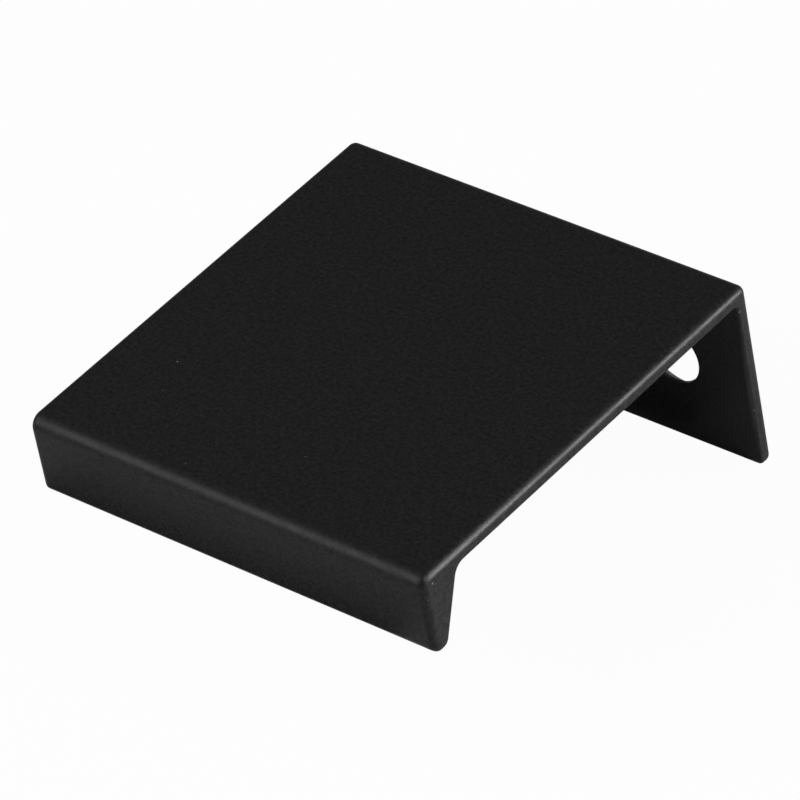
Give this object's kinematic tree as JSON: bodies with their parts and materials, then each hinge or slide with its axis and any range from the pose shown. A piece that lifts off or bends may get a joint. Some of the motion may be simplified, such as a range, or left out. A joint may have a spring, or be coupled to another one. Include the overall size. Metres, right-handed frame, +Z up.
{
  "type": "tab pull",
  "caption": "Square aluminium edge pull with a flat plate, a wedge-shaped finger lip in front and a drilled flange behind, coated matt black.",
  "frame": {"origin": "midway between the two screw holes, on the flange's face that seats against the back of the door", "axes": "+X along the width, +Y from the finger lip to the flange, +Z up, square to the plate's top"},
  "size_m": [0.041, 0.0413, 0.0181],
  "materials": {
    "black_powder_coat": "matt black powder coat with a fine grain, on aluminium"
  },
  "bodies": {
    "root": {"tab_pull": "black_powder_coat"}
  },
  "joints": []
}
